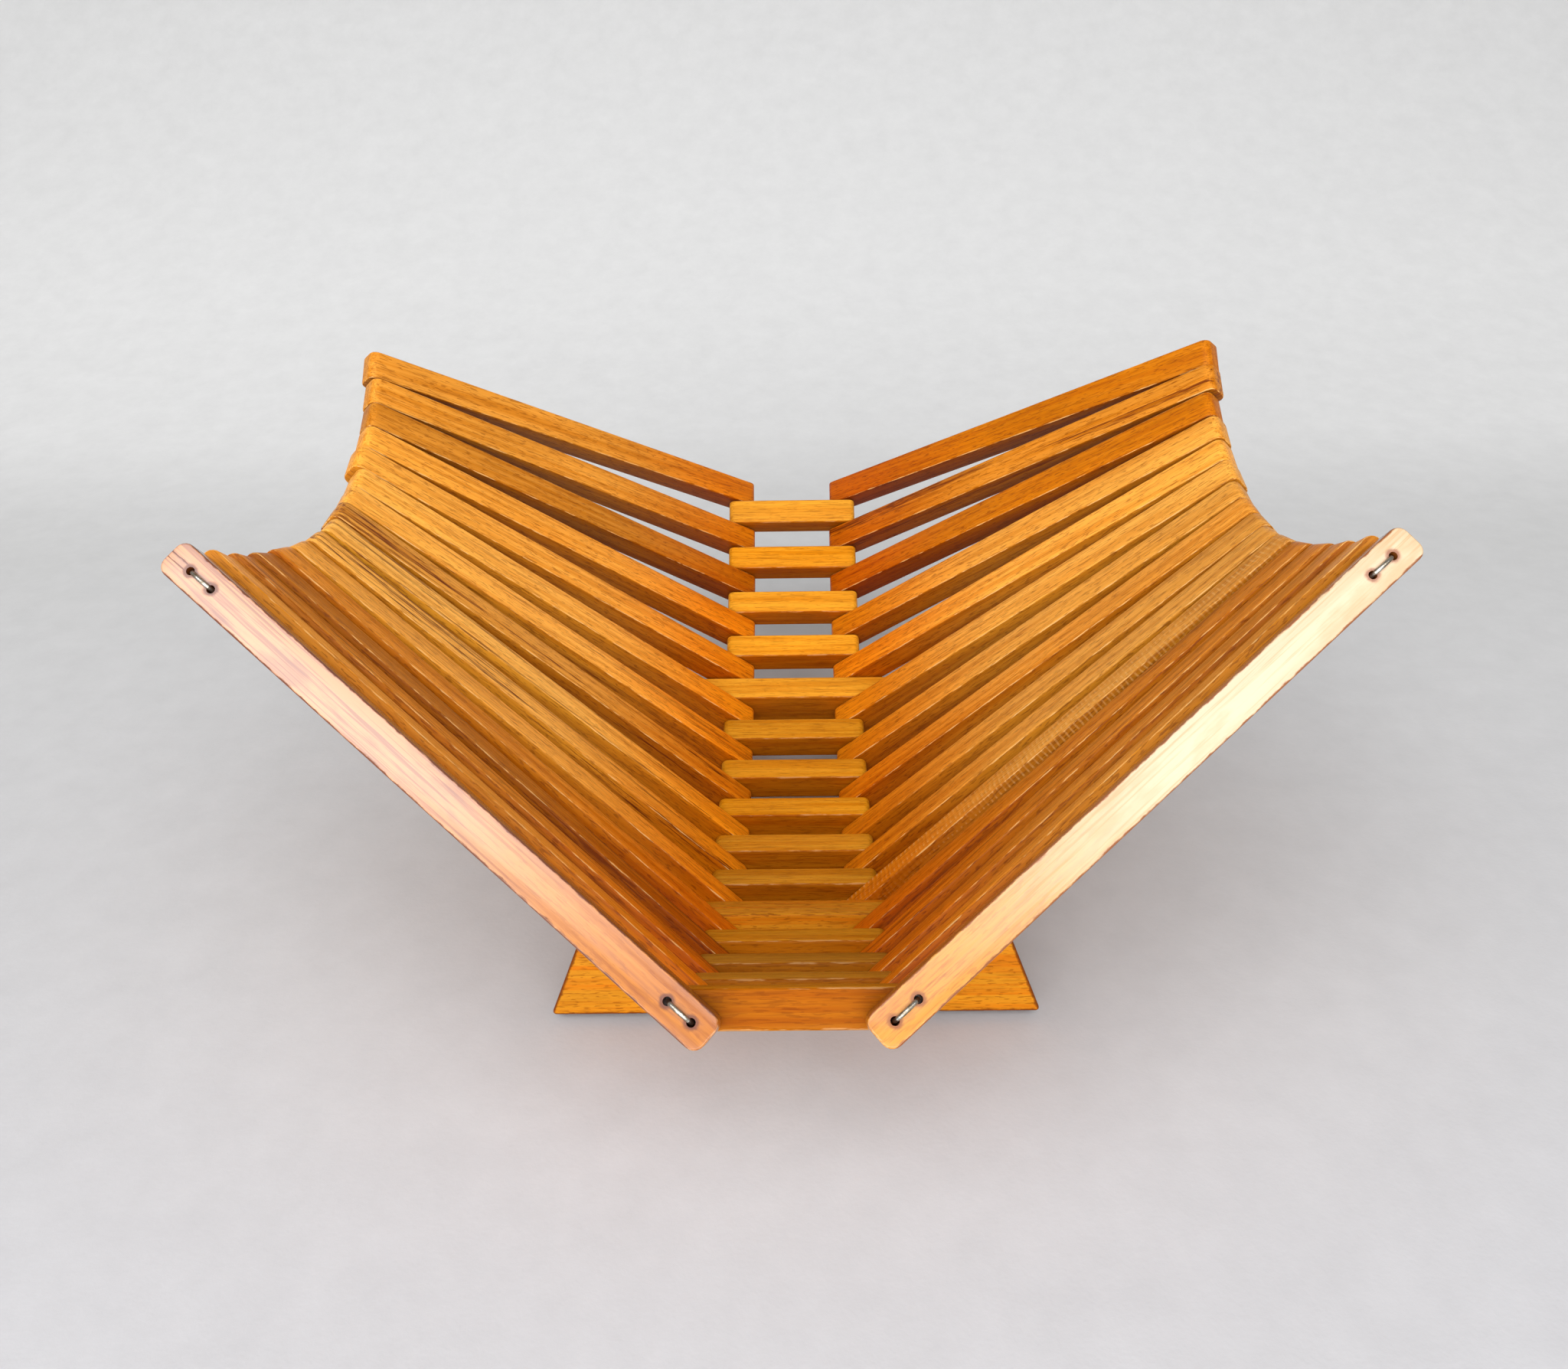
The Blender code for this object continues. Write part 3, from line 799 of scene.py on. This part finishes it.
def wing_slat(side_name, side, number):
    """One slat of a wing, from the blank to its place. Side is -1 on the left and 1 on the right."""
    name = f"slat_{side_name}_{number:02d}"
    lift = LIFTS[side_name][number - 1] * MM
    middle = lift * HINGE_SHARE
    outwards = side * ((number == SLATS) - (number == 1))
    high = TIP_WIRE + TIP_INSET * (1 + TIP_SHARES[side_name][number - 1])
    base, top = middle - SLAT_WIDTH / 2, middle + SLAT_WIDTH / 2
    stick = blank(SLAT_LOW, high, SLAT_THICKNESS, base, top, SLAT_CORNERS, SLAT_ROUND)
    drills = bmesh.new()
    face = SLAT_THICKNESS / 2
    for reach in (0, TIP_WIRE):
        drill(drills, reach * math.cos(lean(lift)), -reach * math.sin(lean(lift)), -face - MM, face + MM)
    if outwards:
        ends = sorted((outwards * (face + MM), outwards * (face - BLIND_DEPTH)))
        for x in (STAPLE, TIP_WIRE - STAPLE):
            drill(drills, x, 0, *ends)
    mesh = cut(name, stick, drills)
    lighter = LIGHTER[side_name][number - 1]
    redder = REDDER if number <= 5 or (side > 0 and number >= 14) else 0
    board = (rng.random(), lighter, YELLOWER * lighter - redder + rng.uniform(-0.003, 0.003))
    marks = (STRIPES[side_name].get(number, FEWEST_STRIPES), KNIFE_MARKS[side_name].get(number, 0), -side)
    remember(mesh, SLAT_THICKNESS, SLAT_ROUND, board, marks)
    wood = honey_beech
    if number == 1:
        wood = pink_beech if side < 0 else cream_beech
    seat = slat_seat(side, number - 1 - END_PLACE, lift)
    return place_piece(f"{name}_wood", mesh, seat, wood, name, name)


for side_name, side in (("left", -1), ("right", 1)):
    wing = [wing_slat(side_name, side, number) for number in range(1, SLATS + 1)]
    print(side_name, "wing:", len(wing), "slats,", sum(len(piece.data.polygons) for piece in wing), "faces")

# %% [markdown]
# # The spine
# Between the slats' lower ends lie short cross slats, and in two of their places stand the foot boards,
# trapezoids cut from wider wood. They use the same blank, drill and attributes. A foot board's base is
# widened before its edges are rounded, so that the slanted ends get the same rounding. The rear board stands
# in the shade of the spine and is finished like the cross slats.

# %% Cross slats and foot boards
CROSS_THICKNESS = 10.0 * MM
CROSS_HALF = 25.1 * MM  # of its length
CROSS_TOP = 4.6 * MM
CROSS_CORNER, FOOT_CORNER = 2.2 * MM, 1.5 * MM
CROSS_ROUND = 0.82 * MM
FOOT_TOP_HALF = 58.0 * MM  # half the foot board's width at its top
FOOT_SPREAD = 12.1 * MM  # what half its width grows by down to the sole
FOOT_HEIGHT = 30.6 * MM
FOOT_PLACE = 3  # pitches from the middle of the spine to a foot board
SPINE_MARKS = (0.1, 0, 1)  # few dark stripes, no knife marks
HINGE_DROP = 2.2 * MM  # of the hinge wire below the middle
SPINE_TONE_AND_SHADE = (  # how much lighter or darker each piece is than the rest; the darker front is painted shade of tops turned from the light
    -0.37, -0.41, -0.48, -0.36, -0.42, -0.39, -0.28, -0.2, -0.25, -0.3, -0.15, -0.11, -0.11, -0.19, -0.22
)


def cross_piece(number):
    """A cross slat or a foot board, from the blank to its place."""
    place = number - SLATS // 2
    is_foot = abs(place) == FOOT_PLACE
    name = f"cross_slat_{number:02d}"
    half, base, spread, corner, slot_name = CROSS_HALF, -CROSS_TOP, 0.0, CROSS_CORNER, "cross_wood"
    wood = bright_beech
    if is_foot:
        name = "foot_board_front" if place < 0 else "foot_board_rear"
        half, base, spread = FOOT_TOP_HALF, CROSS_TOP - FOOT_HEIGHT, FOOT_SPREAD
        corner, slot_name = FOOT_CORNER, "foot_wood"
        wood = foot_beech if place < 0 else bright_beech
    stick = blank(-half, half, CROSS_THICKNESS, base, CROSS_TOP, (corner, corner), CROSS_ROUND, spread)
    drills = bmesh.new()
    face = CROSS_THICKNESS / 2
    for side in (-1, 1):
        drill(drills, side * HINGE_SPREAD / 2, -HINGE_DROP, -face - MM, face + MM)
    mesh = cut(name, stick, drills)
    board = (rng.random(), SPINE_TONE_AND_SHADE[number - 1] + rng.uniform(-0.02, 0.02), rng.uniform(-0.004, 0.004))
    remember(mesh, CROSS_THICKNESS, CROSS_ROUND, board, SPINE_MARKS)
    body = "spine_middle" if place == 0 else name
    return place_piece(f"{name}_wood", mesh, cross_seat(place), wood, body, name)


spine = [cross_piece(number) for number in range(1, SLATS)]
print("spine:", len(spine), "pieces")

# %% [markdown]
# # The wires
# On the real basket each wire runs through all sixteen slats. When the basket folds, the slats' ends move
# apart a little, and a single stiff piece could not follow. So every slat carries its own short length of
# wire in each hole, long enough to reach into its neighbours. Together they look like one wire, open or
# folded. The outermost slats carry the bent ends: a disc pushed along a path, ring by ring.

# %% Wire
WIRE = 0.55 * MM  # radius
WIRE_SIDES = 12
BEND_STEPS = 12
PAST_HINGE, PAST_TIP = 1.5 * MM, 3.2 * MM  # how far a length of wire reaches out of its slat
BEND_DEPTH = 1.2 * MM  # under the slat's face, where the bend leaves its hole
BEND_FOOT, BEND_RISE = 0.5 * MM, 1.35 * MM  # the bridge's foot under the face, and its height over that foot
END_DEPTH = 4.0 * MM  # of the wire's end in the blind hole


def push_wire(bm, path):
    """A round wire along the path, made by pushing a disc from point to point."""
    ways = [(b - a).normalized() for a, b in zip(path, path[1:])]
    ahead = [ways[0]] + [(a + b).normalized() for a, b in zip(ways, ways[1:])] + [ways[-1]]
    stand = Matrix.Translation(path[0]) @ ahead[0].to_track_quat("Z", "Y").to_matrix().to_4x4()
    made = bmesh.ops.create_circle(bm, cap_ends=True, radius=WIRE, segments=WIRE_SIDES, matrix=stand)
    face = made["verts"][0].link_faces[0]
    for index in range(1, len(path)):
        pushed = bmesh.ops.extrude_face_region(bm, geom=[face])["geom"]
        face = next(item for item in pushed if isinstance(item, bmesh.types.BMFace))
        turn = ahead[index - 1].rotation_difference(ahead[index]).to_matrix()
        bmesh.ops.translate(bm, verts=face.verts, vec=path[index] - path[index - 1])
        bmesh.ops.rotate(bm, verts=face.verts, cent=path[index], matrix=turn)


def bent_end(reach, onwards, outwards):
    """The path of a wire's end: out of its hole, over the face and back into the blind hole."""
    face = SLAT_THICKNESS / 2
    stops = [(0, -(face + PAST_HINGE)), (0, face - BEND_DEPTH)]
    for step in range(1, BEND_STEPS):
        share = step / BEND_STEPS
        over = math.sin(math.pi * share) ** 0.55  # a power below 1 makes the bridge flat and its ends steep
        stops.append((0.04 + 0.92 * share, face - BEND_FOOT + BEND_RISE * over))
    stops += [(1, face - BEND_DEPTH), (1, face - END_DEPTH)]
    return [Vector((reach + onwards * STAPLE * share, outwards * y, 0)) for share, y in stops]


def wire_mesh(name, bm):
    """The pushed wire as a mesh, faces outwards."""
    bmesh.ops.recalc_face_normals(bm, faces=bm.faces)
    mesh = bpy.data.meshes.new(name)
    bm.to_mesh(mesh)
    bm.free()
    return mesh


for side_name, side in (("left", -1), ("right", 1)):
    nodes = (f"hinge_wire_{side_name}", f"tip_wire_{side_name}")
    for number in range(1, SLATS + 1):
        bm = bmesh.new()
        outwards = side * ((number == SLATS) - (number == 1))
        lift = LIFTS[side_name][number - 1] * MM
        half = SLAT_THICKNESS / 2
        for reach, onwards, past in ((0, 1, PAST_HINGE), (TIP_WIRE, -1, PAST_TIP)):
            if outwards:
                push_wire(bm, bent_end(reach, onwards, outwards))
            else:
                x, z = reach * math.cos(lean(lift)), -reach * math.sin(lean(lift))
                push_wire(bm, [Vector((x, y, z)) for y in (-half - past, half + past)])
        name = f"slat_{side_name}_{number:02d}"
        mesh = wire_mesh(f"{name}_wire", bm)
        seat = slat_seat(side, number - 1 - END_PLACE, lift)
        place_piece(f"{name}_wire", mesh, seat, steel, name, nodes[0])
        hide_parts(nodes[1])
for number in range(1, SLATS):
    place = number - SLATS // 2
    bm = bmesh.new()
    half = CROSS_THICKNESS / 2
    for side in (-1, 1):
        hinge = side * HINGE_SPREAD / 2
        push_wire(bm, [Vector((hinge, y, -HINGE_DROP)) for y in (-half - PAST_HINGE, half + PAST_HINGE)])
    name = spine[number - 1].name.replace("_wood", "")
    body = "spine_middle" if place == 0 else name
    wire = place_piece(f"{name}_wire", wire_mesh(f"{name}_wire", bm), cross_seat(place), steel, body,
                       "hinge_wire_left")
    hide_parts("hinge_wire_right")

# %% [markdown]
# # The studio
# The basket stood on a sheet of pale grey paper that curves up behind it. One sheet is a strip of edges
# extruded sideways, with nearly a quarter turn between floor and wall. The paper's grey holds painted light:
# it is a little darker on the table, lighter where the light falls up the curve and darker again high up,
# with a faint blue on the table against the wood's orange bounce, so the colour follows the distance from the
# front.

# %% Paper sweep
PAPER_FRONT, PAPER_CURVE = -1.6, 0.30  # where the sheet and where its curve begin, in metres along Y
PAPER_HALF = 1.8  # half its width
PAPER_RADIUS, PAPER_TURN, PAPER_STEPS = 0.75, math.radians(80), 16  # of the curve
PAPER_WALL = Vector((0, 0.17, 0.98)) * 0.9  # the flat part above it

bm = bmesh.new()
profile = [Vector((0, PAPER_FRONT, 0)), Vector((0, PAPER_CURVE, 0))]
for step in range(1, PAPER_STEPS + 1):
    turn = PAPER_TURN * step / PAPER_STEPS
    rise = 1 - math.cos(turn)
    profile.append(Vector((0, PAPER_CURVE + PAPER_RADIUS * math.sin(turn), PAPER_RADIUS * rise)))
profile.append(profile[-1] + PAPER_WALL)
line = [bm.verts.new(point + Vector((-PAPER_HALF, 0, 0))) for point in profile]
edges = [bm.edges.new(pair) for pair in zip(line, line[1:])]
pulled = bmesh.ops.extrude_edge_only(bm, edges=edges)["geom"]
pulled = [item for item in pulled if isinstance(item, bmesh.types.BMVert)]
bmesh.ops.translate(bm, verts=pulled, vec=(2 * PAPER_HALF, 0, 0))
bmesh.ops.recalc_face_normals(bm, faces=bm.faces)
sheet_mesh = bpy.data.meshes.new("paper_sweep")
bm.to_mesh(sheet_mesh)
bm.free()
sheet_mesh.shade_smooth()
paper_sweep = bpy.data.objects.new("paper_sweep", sheet_mesh)
scene.collection.objects.link(paper_sweep)

paper, paper_tree, paper_shader = new_material("grey_paper")
where = add(paper_tree, "TexCoord").outputs["Object"]
parts = add(paper_tree, "SeparateXYZ", {0: where})
back = add(
    paper_tree, "MapRange", {"Value": parts.outputs[1], "From Min": -0.35, "From Max": 1.15}
).outputs[0]
# Painted light: these greys lighten the paper up the curve and darken it on the table and high up, as the
# lamps' fall-off would.
painted_light_greys = add(paper_tree, "ValToRGB", {"Fac": back})
stops = (
    (0.0, "#BCBCBE"), (0.13, "#BEBEC1"), (0.2, "#BDBDBF"), (0.40, "#C7C7C7"), (0.50, "#DADADA"),
    (0.62, "#D9D9D9"), (0.9, "#C6C6C6"), (1.0, "#AEAEAE"),
)
painted_light_greys.color_ramp.elements.remove(painted_light_greys.color_ramp.elements[1])
painted_light_greys.color_ramp.elements[0].position = 0
painted_light_greys.color_ramp.elements[0].color = linear(stops[0][1])
for position, code in stops[1:]:
    painted_light_greys.color_ramp.elements.new(position).color = linear(code)
mottle = add(paper_tree, "TexNoise", {"Vector": where, "Scale": 60, "Detail": 5, "Roughness": 0.7}).outputs[0]
mottle = add(
    paper_tree, "MapRange",
    {"Value": mottle, "From Min": 0.3, "From Max": 0.7, "To Min": 0.965, "To Max": 1.035},
).outputs[0]
mottled = add(paper_tree, "HueSaturation", {"Value": mottle, "Color": painted_light_greys.outputs[0]}).outputs[0]
paper_tree.links.new(mottled, paper_shader.inputs["Base Color"])
paper_shader.inputs["Roughness"].default_value = 0.9
paper_shader.inputs["Specular IOR Level"].default_value = 0.2
tooth = add(paper_tree, "TexNoise", {"Vector": where, "Scale": 700, "Detail": 2}).outputs[0]
paper_bump = add(paper_tree, "Bump", {"Height": tooth, "Strength": 0.25, "Distance": 0.2 * MM}).outputs[0]
paper_tree.links.new(paper_bump, paper_shader.inputs["Normal"])
paper_sweep.data.materials.append(paper)
print("the sweep is", len(sheet_mesh.polygons), "faces")

# %% [markdown]
# # The light
# One very large soft box hangs high in front of the basket. It lights everything that faces up: the table,
# the insides of the wings and the front slats, while the gaps between the slats stay dark. The lacquer of
# the two front slats mirrors it, except at their low ends, which look under it. Two smaller boxes to the
# left and the right add a little sparkle, the right one more. A low, wide box close in front lights the foot
# board and the sides of the slats that look to the front, which the high box hardly reaches. A box is turned
# so that its back, -Z, looks at the basket. The world fills the shadows.

# %% Lamps
world = bpy.data.worlds.new("studio")
world.use_nodes = True
scene.world = world
world.node_tree.nodes["Background"].inputs["Color"].default_value = linear("#FFFFFF")
world.node_tree.nodes["Background"].inputs["Strength"].default_value = 0.27


def soft_box(name, place, target, width, height, glow):
    """An area lamp at a place, turned to its target. Glow is how bright its face looks."""
    data = bpy.data.lights.new(name, "AREA")
    data.shape = "RECTANGLE"
    data.size, data.size_y = width, height
    data.energy = glow * math.pi * width * height
    lamp = bpy.data.objects.new(name, data)
    lamp.location = place
    lamp.rotation_euler = (Vector(place) - Vector(target)).to_track_quat("Z", "Y").to_euler()
    scene.collection.objects.link(lamp)
    return lamp


soft_box("overhead", (-0.15, -1.196, 1.78), (0, -0.05, 0.08), 2.6, 1.25, 3.7)
soft_box("front_right", (0.855, -0.926, 1.15), (0, -0.1, 0.08), 0.9, 0.6, 2.7)
soft_box("front_left", (-0.855, -0.926, 1.15), (0, -0.1, 0.08), 0.9, 0.6, 2.4)
soft_box("front_fill", (-0.15, -1.3, 0.36), (0, -0.1, 0.08), 1.6, 0.5, 6.5)
